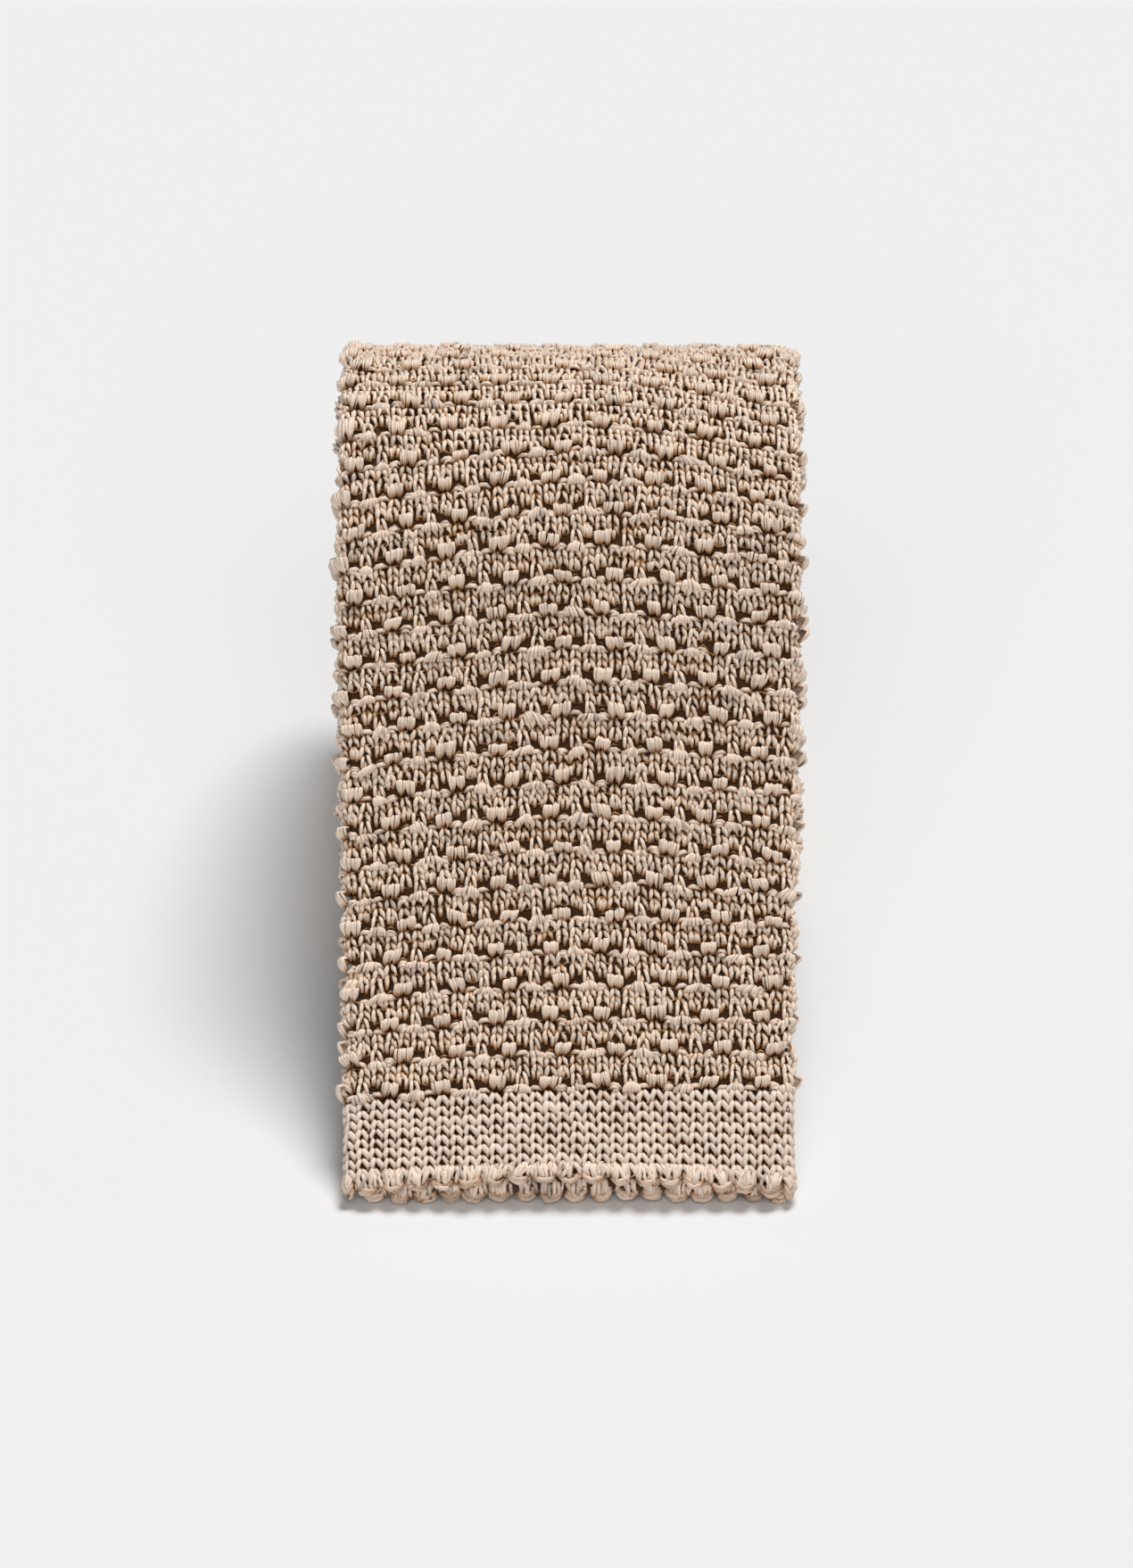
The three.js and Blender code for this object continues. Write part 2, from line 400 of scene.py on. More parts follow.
def makeGroup(name, ins, outs):
    group = bpy.data.node_groups.new(name, "ShaderNodeTree")
    for label, kind in ins:
        group.interface.new_socket(name=label, in_out="INPUT", socket_type=kind)
    for label, kind in outs:
        group.interface.new_socket(name=label, in_out="OUTPUT", socket_type=kind)
    return group, group.nodes.new("NodeGroupInput"), group.nodes.new("NodeGroupOutput")


def mathOn(tree, operation, *numbers):
    inputs = dict(enumerate(numbers))
    return addNode(tree, "ShaderNodeMath", inputs, operation=operation).outputs["Value"]


def mixColors(tree, amount, first, second):
    inputs = {"Factor": amount, "A": first, "B": second}
    return addNode(tree, "ShaderNodeMix", inputs, data_type="RGBA").outputs["Result"]


# The colour and the relief of a knit, with the relief's depth in millimetres.
def paint(tree, shader, color, height, relief, depth, hollow=False):
    inputs = {"Strength": relief, "Distance": depth / 1000, "Height": height}
    bump = addNode(tree, "ShaderNodeBump", inputs, invert=hollow)
    tree.links.new(color, shader.inputs["Base Color"])
    tree.links.new(bump.outputs["Normal"], shader.inputs["Normal"])


# What all the yarns share. The palest strand is just white enough, so that none gives back more
# light than falls on it.
strandLook = {
    "middleTo": 0.38,
    "highFrom": 0.46,
    "patchScale": 900.0,
    "patchDetail": 2.0,
    "fiberScale": 2.6,
    "fiberDetail": 1.0,
    "fiberShare": 1.6,
    "average": 1.8,
    "palest": 1.03,
    "relief": 0.5,
    "depth": 0.05,
    "glossTint": (1.0, 0.92, 0.84, 1),
}


# Colour of a strand with painted shade: dark and brown where it lies deep between its neighbours,
# pale where it stands up, with a tone of its own and fine lines along it.
def buildYarnGroup(values):
    group, given, result = makeGroup(
        "yarnColorAndShade",
        [
            ("Deep Shade", "NodeSocketColor"),
            ("Middle", "NodeSocketColor"),
            ("High", "NodeSocketColor"),
            ("Low Loft", "NodeSocketFloat"),
            ("Top Loft", "NodeSocketFloat"),
            ("Unevenness", "NodeSocketFloat"),
        ],
        [("Color", "NodeSocketColor"), ("Height", "NodeSocketFloat")],
    )
    loft, tone, ply = (
        addNode(group, "ShaderNodeAttribute", {}, attribute_name=label)
        for label in ("loft", "tone", "ply")
    )
    place = addNode(group, "ShaderNodeTexCoord", {})
    # painted shade: the lower a strand lies, the nearer its colour comes to the deep shade
    lift = addNode(group, "ShaderNodeMapRange", {
        "Value": loft.outputs["Fac"],
        "From Min": given.outputs["Low Loft"],
        "From Max": given.outputs["Top Loft"],
    }, interpolation_type="SMOOTHSTEP").outputs["Result"]
    lower = addNode(group, "ShaderNodeMapRange", {"Value": lift, "From Max": values["middleTo"]})
    upper = addNode(group, "ShaderNodeMapRange", {"Value": lift, "From Min": values["highFrom"]})
    brown = mixColors(
        group, lower.outputs["Result"], given.outputs["Deep Shade"], given.outputs["Middle"])
    pale = mixColors(group, upper.outputs["Result"], brown, given.outputs["High"])
    patch = addNode(group, "ShaderNodeTexNoise", {
        "Vector": place.outputs["Object"],
        "Scale": values["patchScale"],
        "Detail": values["patchDetail"],
    }).outputs["Fac"]
    fiber = addNode(group, "ShaderNodeTexNoise", {
        "Vector": ply.outputs["Vector"],
        "Scale": values["fiberScale"],
        "Detail": values["fiberDetail"],
    }).outputs["Fac"]
    both = mathOn(group, "MULTIPLY_ADD", fiber, values["fiberShare"], patch)
    swing = mathOn(group, "ADD", both, tone.outputs["Fac"])
    centered = mathOn(group, "SUBTRACT", swing, values["average"])
    scaled = mathOn(group, "MULTIPLY_ADD", centered, given.outputs["Unevenness"], 1.0)
    held = mathOn(group, "MINIMUM", scaled, values["palest"])
    inputs = {"Vector": pale, "Scale": held}
    tinted = addNode(group, "ShaderNodeVectorMath", inputs, operation="SCALE")
    group.links.new(tinted.outputs["Vector"], result.inputs["Color"])
    group.links.new(fiber, result.inputs["Height"])
    return group


yarnGroup = buildYarnGroup(strandLook)


def yarnMaterial(name, values):
    material, tree, shader = newMaterial(name, values["roughness"], values["specular"])
    shader.inputs["Specular Tint"].default_value = strandLook["glossTint"]
    yarn = addNode(tree, "ShaderNodeGroup", {
        "Deep Shade": (*values["deep"], 1),
        "Middle": (*values["middle"], 1),
        "High": (*values["high"], 1),
        "Low Loft": values["lowLoft"],
        "Top Loft": values["topLoft"],
        "Unevenness": values["unevenness"],
    }, node_tree=yarnGroup)
    color, height = yarn.outputs["Color"], yarn.outputs["Height"]
    paint(tree, shader, color, height, strandLook["relief"], strandLook["depth"])
    return material


# deep is the colour of painted shade between strands, middle the warm brown of painted half-shade,
# and high the pale yarn itself where it stands up
stitchYarn = yarnMaterial("stitchYarn", {
    "deep": (0.055, 0.02, 0.008),
    "middle": (0.59, 0.315, 0.13),
    "high": (0.96, 0.785, 0.64),
    "lowLoft": -1.0,
    "topLoft": 0.18,
    "unevenness": 0.38,
    "roughness": 0.34,
    "specular": 0.8,
})
blockYarn = yarnMaterial("blockYarn", {
    "deep": (0.06, 0.025, 0.012),
    "middle": (0.54, 0.30, 0.15),
    "high": (0.96, 0.785, 0.645),
    "lowLoft": -0.85,
    "topLoft": 0.6,
    "unevenness": 0.38,
    "roughness": 0.42,
    "specular": 0.6,
})
softYarn = yarnMaterial("softYarn", {
    "deep": (0.075, 0.028, 0.012),
    "middle": (0.53, 0.29, 0.15),
    "high": (0.95, 0.775, 0.64),
    "lowLoft": -0.9,
    "topLoft": 0.4,
    "unevenness": 0.38,
    "roughness": 0.45,
    "specular": 0.55,
})
hemYarn = yarnMaterial("hemYarn", {
    "deep": (0.07, 0.022, 0.007),
    "middle": (0.42, 0.235, 0.12),
    "high": (0.92, 0.765, 0.65),
    "lowLoft": -0.95,
    "topLoft": 0.3,
    "unevenness": 0.3,
    "roughness": 0.42,
    "specular": 0.55,
})

# The knit behind the yarn, seen through the holes. The tube is real, but its dark brown is painted
# shade.
backingLook = {
    "start": (0.05, 0.02, 0.009, 1),
    "end": (0.17, 0.085, 0.045, 1),
    "grain": 1.4,
    "grainDetail": 3.0,
    "relief": 0.6,
    "depth": 0.2,
    "hollow": False,
    "roughness": 0.9,
    "specular": 0.0,
}

# Plain knit without strands of its own, on the faces between the turns of the roll: pale at the
# middle of each stitch and dark brown at its edges, which is painted shade between the stitches.
innerLook = {
    "start": (0.68, 0.53, 0.40, 1),
    "end": (0.14, 0.075, 0.04, 1),
    "column": 0.89,
    "course": 1.35,
    "randomness": 0.35,
    "relief": 0.8,
    "depth": 0.6,
    "hollow": True,
    "roughness": 0.7,
    "specular": 0.2,
}


def grainTexture(tree, place, values):
    inputs = {"Vector": place, "Scale": values["grain"], "Detail": values["grainDetail"]}
    return addNode(tree, "ShaderNodeTexNoise", inputs).outputs["Fac"]


def stitchTexture(tree, place, values):
    size = (1 / values["column"], 1 / values["course"], 1)
    grid = addNode(tree, "ShaderNodeMapping", {"Vector": place, "Scale": size})
    return addNode(tree, "ShaderNodeTexVoronoi", {
        "Vector": grid.outputs["Vector"],
        "Scale": 1.0,
        "Randomness": values["randomness"],
    }).outputs["Distance"]


# A texture that lies on the flat tie gives both the colour and the relief.
def flatKnitMaterial(name, values, texture):
    material, tree, shader = newMaterial(name, values["roughness"], values["specular"])
    place = addNode(tree, "ShaderNodeUVMap", {}, uv_map="flat").outputs["UV"]
    amount = texture(tree, place, values)
    color = mixColors(tree, amount, values["start"], values["end"])
    paint(tree, shader, color, amount, values["relief"], values["depth"], values["hollow"])
    return material


backingPaintedShade = flatKnitMaterial("backingPaintedShade", backingLook, grainTexture)
innerKnit = flatKnitMaterial("innerKnit", innerLook, stitchTexture)

# The knitted tube behind the yarn

backing = {
    "inset": 1.15,
    "wall": 0.25,
    "flatColumns": 5,
    "edgeColumn": 1.0,
    "sideSteps": 4,
    "bareFrom": 326.0,  # where the yarn on the outer face of the roll ends
    "bareOver": 8,
    "backBefore": 3,
    "backOver": 8,
    "backShare": 0.95,
    "hemStart": 2.2,
    "hemRings": 9,
    "joinGap": 0.3,
    "endMargin": 0.1,
    "bladeStep": 2.32,
    "neckStep": 3.0,
    "tailStep": 2.0,
}


# The tube lies deep under the yarn where there is yarn over it, and swells out to the next turn
# where there is none.
def tubeRing(along, deeper):
    half = float(halfWidthAt(np.array(along)))
    columns, edge = backing["flatColumns"] + 1, backing["edgeColumn"]
    sideSteps = backing["sideSteps"]
    flat = np.concatenate([[-half], np.linspace(-half + edge, half - edge, columns), [half]])
    arc = half + pi * sideRadius * np.arange(1, sideSteps) / sideSteps
    far = 2 * half + pi * sideRadius
    across = np.concatenate([flat, arc, far - flat[::-1], -arc[::-1]])
    bareEnd = backing["bareFrom"] + backing["bareOver"]
    under = np.interp(along, [0, backing["bareFrom"], bareEnd], [1, 1, 0])
    backFrom, backEnd = rampLength - backing["backBefore"], rampLength + backing["backOver"]
    behind = np.interp(along, [0, backFrom, backEnd], [1, 1, 0])
    inside = np.array([0, *[1] * columns, 0], float)
    none = np.zeros(len(arc))
    swollen = np.concatenate([inside * (1 - under), none, inside * (1 - behind), none])
    inset = backing["inset"] * (1 - swollen)
    return np.stack([across, np.full(len(across), along), -inset - deeper], axis=-1)


# drawn is how far the middle of the tube's open end is drawn in.
def backingTube(name, steps, drawn=0.0):
    outer = np.array([tubeRing(a, 0.0) for a in steps])
    inner = np.array([tubeRing(a, backing["wall"]) for a in steps])
    half = float(halfWidthAt(np.array(steps[0])))
    fade = np.linspace(1, 0, len(steps))[:, None]
    for shell in (outer, inner):
        share = np.clip(np.abs(shell[..., 0]) / half, 0, 1)
        shell[..., 1] += drawn * (1 - share ** 2) * fade
    across = len(outer[0])
    points = np.array([np.concatenate([o, i]) for o, i in zip(outer, inner)])
    index = np.arange(len(steps) * 2 * across).reshape(len(steps), 2, across)
    following = np.roll(index, -1, axis=2)
    o, on, i, inn = index[:, 0], following[:, 0], index[:, 1], following[:, 1]
    faces = np.concatenate([
        np.stack([o[:-1], on[:-1], on[1:], o[1:]], axis=-1).reshape(-1, 4),
        np.stack([inn[:-1], i[:-1], i[1:], inn[1:]], axis=-1).reshape(-1, 4),
        np.stack([on[0], o[0], i[0], inn[0]], axis=-1).reshape(-1, 4),
        np.stack([o[-1], on[-1], inn[-1], i[-1]], axis=-1).reshape(-1, 4),
    ])
    mesh = bpy.data.meshes.new(name)
    flatPoints = points.reshape(-1, 3)
    mesh.from_pydata((carry(flatPoints) / 1000).tolist(), [], faces.tolist())
    mesh.uv_layers.new(name="flat").data.foreach_set("uv", flatPoints[faces.ravel()][:, :2].ravel())
    mesh.shade_smooth()
    piece = bpy.data.objects.new(name, mesh)
    bpy.context.collection.objects.link(piece)
    mesh.materials.append(backingPaintedShade)
    mesh.materials.append(innerKnit)
    middles = flatPoints[faces].mean(axis=1)
    reach = halfWidthAt(middles[:, 1])
    behind = np.abs(middles[:, 0]) > reach + pi * sideRadius * backing["backShare"]
    bare = (middles[:, 1] > backing["bareFrom"]) | (behind & (middles[:, 1] > rampLength))
    mesh.polygons.foreach_set("material_index", bare.astype(np.int32))
    print("  ", name, 2 * len(faces), "triangles")
    return piece


def ringsBetween(start, end, step):
    return np.arange(start + backing["joinGap"], end + backing["endMargin"], step)


hemRings = np.linspace(backing["hemStart"], hemEnd, backing["hemRings"])
hemBacking = backingTube("hem_backing", hemRings, tie["mouthDraw"])
bladeBacking = backingTube("blade_backing", ringsBetween(hemEnd, neckStart, backing["bladeStep"]))
neckBacking = backingTube("neck_backing", ringsBetween(neckStart, tailStart, backing["neckStep"]))
tailRings = ringsBetween(tailStart, tie["length"], backing["tailStep"])
tailBacking = backingTube("tail_backing", tailRings)
print("knitted tube laid")

# Stitches. The rows bow: along says where, and left and right how far below its middle a row lies
# there at the sides of the front. Small waves make all strands uneven together.

bow = {
    "along": [0, 15, 30, 40, 50, 60, 80, 90, 97, 106, 111, 116, 140, 220],
    "left": [0, 1.6, 2.1, 2.3, 2.5, 2.6, 2.9, 3.4, 3.6, 3.1, 1.9, 0.6, 0, 0],
    "right": [0, 0, 0.4, 1.3, 1.8, 1.8, 1.7, 2.6, 4.0, 5.2, 5.8, 6.2, 6.2, 0],
    "middle": 1.5,
    "reach": 30,
    "most": 1.3,
    "power": 1.5,
    "fadeFrom": 2.2,
    "fadeWidth": 40,
    "calmAlong": [3, 15, 22],
    "calmShare": [0.25, 0.5, 1],
    "swaySlow": (0.09, 0.83, 2.1, 0.27),
    "swayFine": (0.07, 1.9, 0.6),
    "heaveSlow": (0.12, 0.71, 1.7, 0.19),
    "heaveFine": (0.09, 1.31, -0.53),
}


def slowWave(main, cross, size, rate, bend, bendRate):
    return size * np.sin(rate * main + bend * np.sin(bendRate * cross))


def fineWave(across, along, size, acrossRate, alongRate):
    return size * np.sin(acrossRate * across + alongRate * along)


def bowed(paths):
    across, along = paths[..., 0], paths[..., 1]
    share = np.clip((across - bow["middle"]) / bow["reach"], -bow["most"], bow["most"])
    left = np.interp(along, bow["along"], bow["left"])
    right = np.interp(along, bow["along"], bow["right"])
    drop = np.where(share < 0, left, right) * np.abs(share) ** bow["power"]
    fade = np.clip(bow["fadeFrom"] - np.abs(across) / bow["fadeWidth"], 0, 1)
    calm = np.interp(along, bow["calmAlong"], bow["calmShare"])
    sway = slowWave(along, across, *bow["swaySlow"]) + fineWave(across, along, *bow["swayFine"])
    heave = slowWave(across, along, *bow["heaveSlow"]) + fineWave(across, along, *bow["heaveFine"])
    moved = paths.copy()
    moved[..., 0] = across + calm * sway
    moved[..., 1] = along - drop * fade + calm * heave
    return moved


# A random drift along each row, with a new value at every stitch.
def wander(rng, rows, count, samples, size):
    knots = rng.normal(0, size, (rows, count + 2, 3))
    at = np.linspace(0.5, count + 0.5, samples)
    low = np.floor(at).astype(int)
    part = (at - low)[None, :, None]
    return knots[:, low] * (1 - part) + knots[:, low + 1] * part


stitch = {
    "pitch": 1.78,
    "loft": -0.5,
    "depth": 0.46,
    "radius": 0.36,
    "thin": 0.4,
    "swing": 0.47,
    "lean": -0.15,
    "jitter": 0.15,
    "tone": 0.5,
    "toneSpread": 0.5,
    "radiusSpread": 0.1,
}

# Half the height of the pattern's plain stitches, how far their heads are tucked under the next
# course, and their radius and unevenness as shares of the stitch's own.
plainCourse = {
    "half": 0.95,
    "tuck": -0.06,
    "radius": 1.0,
    "jitter": 1.0,
}


# Courses of plain stitches: each strand runs across the whole course, from a start in millimetres,
# and swells where it shows as a leg.
def layCourses(heap, middles, start, wales, rng, course, pitch=stitch["pitch"]):
    turns = np.linspace(0, wales, wales * course["samples"] + 1)
    wave = 2 * pi * turns
    middles = np.asarray(middles, float)
    rows = len(middles)
    knots = (rows, wales, len(turns))
    start = np.broadcast_to(start, rows)[:, None]
    pitch = np.broadcast_to(pitch, rows)[:, None]
    rise = np.cos(wave) * course["half"]
    swing = stitch["swing"] * np.sin(2 * wave)
    deep = stitch["depth"] * np.cos(2 * wave)
    paths = np.zeros((rows, len(turns), 3))
    paths[..., 0] = start + pitch * turns + swing + stitch["lean"] * rise
    paths[..., 1] = middles[:, None] + rise
    paths[..., 2] = stitch["loft"] - deep - course["tuck"] * np.cos(wave)
    paths += wander(rng, *knots, stitch["jitter"] * course["jitter"])
    toneSpread = stitch["toneSpread"] * course["jitter"] ** 2
    tone = wander(rng, *knots, toneSpread)[..., 0] + stitch["tone"]
    swell = stitch["thin"] + (1 - stitch["thin"]) * np.sin(wave) ** 2
    swell = swell * (1 + wander(rng, *knots, stitch["radiusSpread"])[..., 1])
    radius = stitch["radius"] * course["radius"] * swell
    heap.add(bowed(paths), radius, course["sides"], tone)


# The pattern: raised blocks, tall column stitches, the arcs and slack strands round the holes.
# In what follows a Spread is how much a value varies, and t runs along a strand.

# The same path at each place, before it varies.
def pathsOf(count, across, along, loft):
    paths = np.zeros((count, len(loft), 3))
    paths[..., 0] = across
    paths[..., 1] = along
    paths[..., 2] = loft
    return paths


def tonesOf(values, rng, count):
    return rng.normal(values["tone"], values["toneSpread"], count)


# A block is two hands of strands side by side. They rise from a narrow foot, run level as a shelf
# and fall off at its end.
block = {
    "width": 2.2,
    "low": 0.1,
    "lowRound": 0.4,
    "high": 2.3,
    "highRound": 0.25,
    "base": -0.75,
    "rise": 1.2,
    "risePower": 0.75,
    "crown": 0.14,
    "shelfTo": 0.8,
    "fallOver": 0.2,
    "knotPower": 0.85,
    "foot": 0.6,
    "footMiddle": 0.55,
    "footShare": 0.45,
    "openingRate": 2.4,
    "openingPower": 0.8,
    "belly": 0.08,
    "thinFoot": 0.6,
    "thickenRate": 2.5,
    "sizeSpread": 0.1,
    "leanSpread": 0.13,
    "leanFrom": 1,
    "tiltSpread": 0.09,
    "loftSpread": 0.09,
    "strandSpread": 0.05,
    "turnSpread": 0.1,
    "radiusSpread": 0.1,
    "tone": 0.5,
    "toneSpread": 0.12,
    "strandToneSpread": 0.3,
    "shade": 0.45,
    "shadeMiddle": 0.65,
    "edgeRise": 0.45,
    "edgeFrom": 27,
    "edgeOver": 4,
}


def addBlocks(heap, places, rng, strands, sides, knots, radius):
    t = np.linspace(0, 1, knots) ** block["knotPower"]
    rising = np.sin(pi / 2 * np.clip(t / block["shelfTo"], 0, 1)) ** block["risePower"]
    falling = np.clip(t - block["shelfTo"], 0, 1) / block["fallOver"]
    shelf = rising * np.sqrt(np.clip(1 - falling ** 2, 0, 1))
    opening = np.clip(t * block["openingRate"], 0, 1) ** block["openingPower"]
    wide = 1 + block["belly"] * np.sin(pi * t)
    count = len(places)
    paths = []
    for hand in (-1, 1):
        for s in range(strands):
            off = (s + 0.5) / strands
            outer = (2 * off - 1) ** 2
            top = off * block["width"] / 2
            foot = block["foot"] + (top - block["footMiddle"]) * block["footShare"]
            crown = block["crown"] * (1 - outer)
            low = block["low"] + block["lowRound"] * outer
            high = block["high"] - block["highRound"] * outer
            across = hand * wide * (foot + (top - foot) * opening)
            loft = block["base"] + (block["rise"] + crown) * shelf
            paths.append(pathsOf(count, across, low + (high - low) * t, loft))
    shape = np.stack(paths, axis=1)
    each, eachStrand = (count, 1, 1), (count, 2 * strands, 1)
    shape[..., :2] *= 1 + rng.normal(0, block["sizeSpread"], (*each, 2))
    lean = block["leanSpread"] * rng.normal(0, 1, each)
    shape[..., 0] += lean * (shape[..., 1] - block["leanFrom"])
    shape[..., 1] += block["tiltSpread"] * rng.normal(0, 1, each) * shape[..., 0]
    shape[..., 2] += rng.normal(0, block["loftSpread"], each)
    shape += rng.normal(0, block["strandSpread"], (*eachStrand, 3))
    shape[..., 0] += block["turnSpread"] * rng.normal(0, 1, eachStrand) * (t - 0.5)
    shape[..., :2] += places[:, None, None]
    atEdge = np.clip((np.abs(places[:, 0]) - block["edgeFrom"]) / block["edgeOver"], 0, 1)
    shape[..., 2] += block["edgeRise"] * atEdge[:, None, None]
    tone = np.repeat(tonesOf(block, rng, count), 2 * strands)
    tone = tone + rng.normal(0, block["strandToneSpread"], len(tone))
    # painted light and shade: a block is darker at its foot and paler towards its top edge, where
    # the light from above falls
    shade = block["shade"] * (t - block["shadeMiddle"])
    growth = (1 - block["thinFoot"]) * np.clip(t * block["thickenRate"], 0, 1)
    uneven = 1 + block["radiusSpread"] * rng.normal(0, 1, (len(tone), 1))
    swell = radius * (block["thinFoot"] + growth) * uneven
    heap.add(bowed(shape.reshape(-1, knots, 3)), swell, sides, tone, sideways, lift=shade)


# The two long legs of a column stitch, with the yarn that shows between them, brown with painted
# shade as it lies low.
column = {
    "apart": 0.66,
    "closing": 0.38,
    "closingPower": 1.2,
    "low": 0.75,
    "length": 1.95,
    "base": -0.6,
    "rise": 0.75,
    "thinning": 0.35,
    "leanFrom": 1.2,
    "spread": 0.08,
    "tone": 0.6,
    "toneSpread": 0.3,
}

columnCore = {
    "along": (0.8, 1.3, 1.8),
    "loft": (-0.5, -0.4, -0.85),
    "radius": 0.36,
    "sides": 4,
    "tone": 0.5,
    "toneSpread": 0.4,
}


def addColumns(heap, places, rng, sides, knots, radius):
    t = np.linspace(0, 1, knots)
    ends = (2 * t - 1) ** 2
    count = len(places)
    paths = []
    for hand in (-1, 1):
        across = hand * (column["apart"] - column["closing"] * t ** column["closingPower"])
        along = column["low"] + column["length"] * t
        paths.append(pathsOf(count, across, along, column["base"] + column["rise"] * (1 - ends)))
    shape = np.stack(paths, axis=1)
    shape += rng.normal(0, column["spread"], (count, 2, 1, 3))
    lean = stitch["lean"] * (shape[..., 1] - column["leanFrom"])
    shape[..., 0] += places[:, None, None, 0] + lean
    shape[..., 1] += places[:, None, None, 1]
    swell = radius * (1 - column["thinning"] * ends)
    tone = tonesOf(column, rng, 2 * count)
    heap.add(bowed(shape.reshape(-1, knots, 3)), swell, sides, tone, sideways)
    core = pathsOf(count, 0, columnCore["along"], columnCore["loft"])
    core += rng.normal(0, column["spread"], (count, 1, 3))
    core[..., :2] += places[:, None]
    tone = tonesOf(columnCore, rng, count)
    heap.add(bowed(core), columnCore["radius"], columnCore["sides"], tone, sideways)


# The ends of two legs that hang over a hole.
stub = {
    "apart": 0.4,
    "closing": 0.1,
    "top": 2.95,
    "length": 1.12,
    "lengthSpread": 0.15,
    "base": -0.45,
    "rise": 0.5,
    "riseTo": 0.75,
    "fall": 0.3,
    "spread": 0.09,
    "driftSpread": 0.15,
    "tone": 0.5,
    "toneSpread": 0.4,
}


def addStubs(heap, places, rng, sides, knots, radius):
    t = np.linspace(0, 1, knots)
    count = len(places)
    hump = np.sin(pi * np.minimum(t, stub["riseTo"]) / stub["riseTo"])
    for hand in (-1, 1):
        length = stub["length"] + stub["lengthSpread"] * rng.normal(0, 1, (count, 1))
        across = hand * (stub["apart"] - stub["closing"] * t)
        loft = stub["base"] + stub["rise"] * hump - stub["fall"] * t
        path = pathsOf(count, across, stub["top"] - length * t, loft)
        path += rng.normal(0, stub["spread"], (count, 1, 3))
        path[..., 0] += places[:, None, 0] + rng.normal(0, stub["driftSpread"], (count, 1)) * t
        path[..., 1] += places[:, None, 1]
        heap.add(bowed(path), radius, sides, tonesOf(stub, rng, count), sideways)


# The slack bundle under a column stitch: a low cap with strands that spread down and out from it.
cushion = {
    "reach": 1.5,
    "closing": 0.6,
    "closingPower": 1.5,
    "low": -0.45,
    "lowRound": 0.1,
    "length": 1.55,
    "lengthRound": 0.6,
    "base": -0.75,
    "rise": 1.15,
    "riseRound": 0.2,
    "flatness": 4,
    "size": -0.04,
    "sizeSpread": 0.13,
    "leanSpread": 0.3,
    "loft": -0.05,
    "loftSpread": 0.12,
    "tiltSpread": 0.1,
    "strandSpread": 0.06,
    "tone": 0.5,
    "toneSpread": 0.45,
    "shade": 0.4,
    "shadeMiddle": 0.5,
}


def addCushions(heap, places, rng, strands, sides, knots, radius):
    t = np.linspace(0, 1, knots)
    dome = 1 - np.abs(2 * t - 1) ** cushion["flatness"]
    count = len(places)
    paths = []
    for s in range(strands):
        off = 2 * (s + 0.5) / strands - 1
        outer = off ** 2
        reach = cushion["reach"] - cushion["closing"] * t ** cushion["closingPower"]
        low = cushion["low"] + cushion["lowRound"] * outer
        length = cushion["length"] - cushion["lengthRound"] * outer
        loft = cushion["base"] + (cushion["rise"] - cushion["riseRound"] * outer) * dome
        paths.append(pathsOf(count, off * reach, low + length * t, loft))
    shape = np.stack(paths, axis=1)
    each = (count, 1, 1)
    shape[..., :2] *= 1 + rng.normal(cushion["size"], cushion["sizeSpread"], (*each, 2))
    shape[..., 0] += rng.normal(0, cushion["leanSpread"], each) * shape[..., 1]
    shape[..., 2] += rng.normal(cushion["loft"], cushion["loftSpread"], each)
    shape[..., 1] += cushion["tiltSpread"] * rng.normal(0, 1, each) * shape[..., 0]
    shape += rng.normal(0, cushion["strandSpread"], (count, strands, 1, 3))
    shape[..., :2] += places[:, None, None]
    tone = tonesOf(cushion, rng, strands * count)
    # painted shade: a cushion is darker at its lower end and paler at its upper end, where the
    # light from above falls
    shade = cushion["shade"] * (t - cushion["shadeMiddle"])
    heap.add(bowed(shape.reshape(-1, knots, 3)), radius, sides, tone, sideways, lift=shade)


# A strand across: an arc over a hole, or a slack one under it.
bridge = {
    "flatness": 4,
    "thinning": 0.3,
    "spread": 0.08,
    "tiltSpread": 0.16,
    "tone": 0.55,
    "toneSpread": 0.35,
}


def addBridges(heap, places, rng, reach, low, high, lofts, sides, knots, radius):
    t = np.linspace(-1, 1, knots)
    count = len(places)
    loft = lofts[0] + (lofts[1] - lofts[0]) * (1 - t ** bridge["flatness"])
    path = pathsOf(count, reach * t, low + (high - low) * (1 - t ** 2), loft)
    path += rng.normal(0, bridge["spread"], (count, 1, 3))
    path[..., 1] += bridge["tiltSpread"] * rng.normal(0, 1, (count, 1)) * t
    path[..., :2] += places[:, None]
    swell = radius * (1 - bridge["thinning"] * t ** 2)
    heap.add(bowed(path), swell, sides, tonesOf(bridge, rng, count))


# Across a row the wales are a block, the hole right of it, a column and the hole left of the next
# block. The rows take turns by one wale.
pattern = {
    "wales": ("block", "right", "column", "left"),
    "evenStart": -1.5,
    "oddStart": -0.5,
    "steps": (-24, 61),
    "spread": 0.11,
    "plainMiddles": (2.95, 4.2),
}


# Where the blocks, columns and holes of a stretch of rows are, and which holes have slack strands.
def patternPlaces(rows, low, high, rng):
    found = {"block": [], "column": [], "left": [], "right": [], "slack": []}
    for row in rows:
        base = hemEnd + row * tie["rowPitch"]
        first = pattern["evenStart"] if row % 2 == 0 else pattern["oddStart"]
        slackSide = "right" if row % 2 == 0 else "left"
        for step in range(*pattern["steps"]):
            wale = first + step
            if not low <= wale * stitch["pitch"] <= high:
                continue
            nudge = rng.normal(0, pattern["spread"], 2)
            at = (wale * stitch["pitch"] + nudge[0], base + nudge[1])
            kind = pattern["wales"][step % len(pattern["wales"])]
            found[kind].append(at)
            if kind == slackSide:
                found["slack"].append(at)
    return {kind: np.array(items).reshape(-1, 2) for kind, items in found.items()}


def plainMiddles(rows):
    return [hemEnd + tie["rowPitch"] * r + m for r in rows for m in pattern["plainMiddles"]]


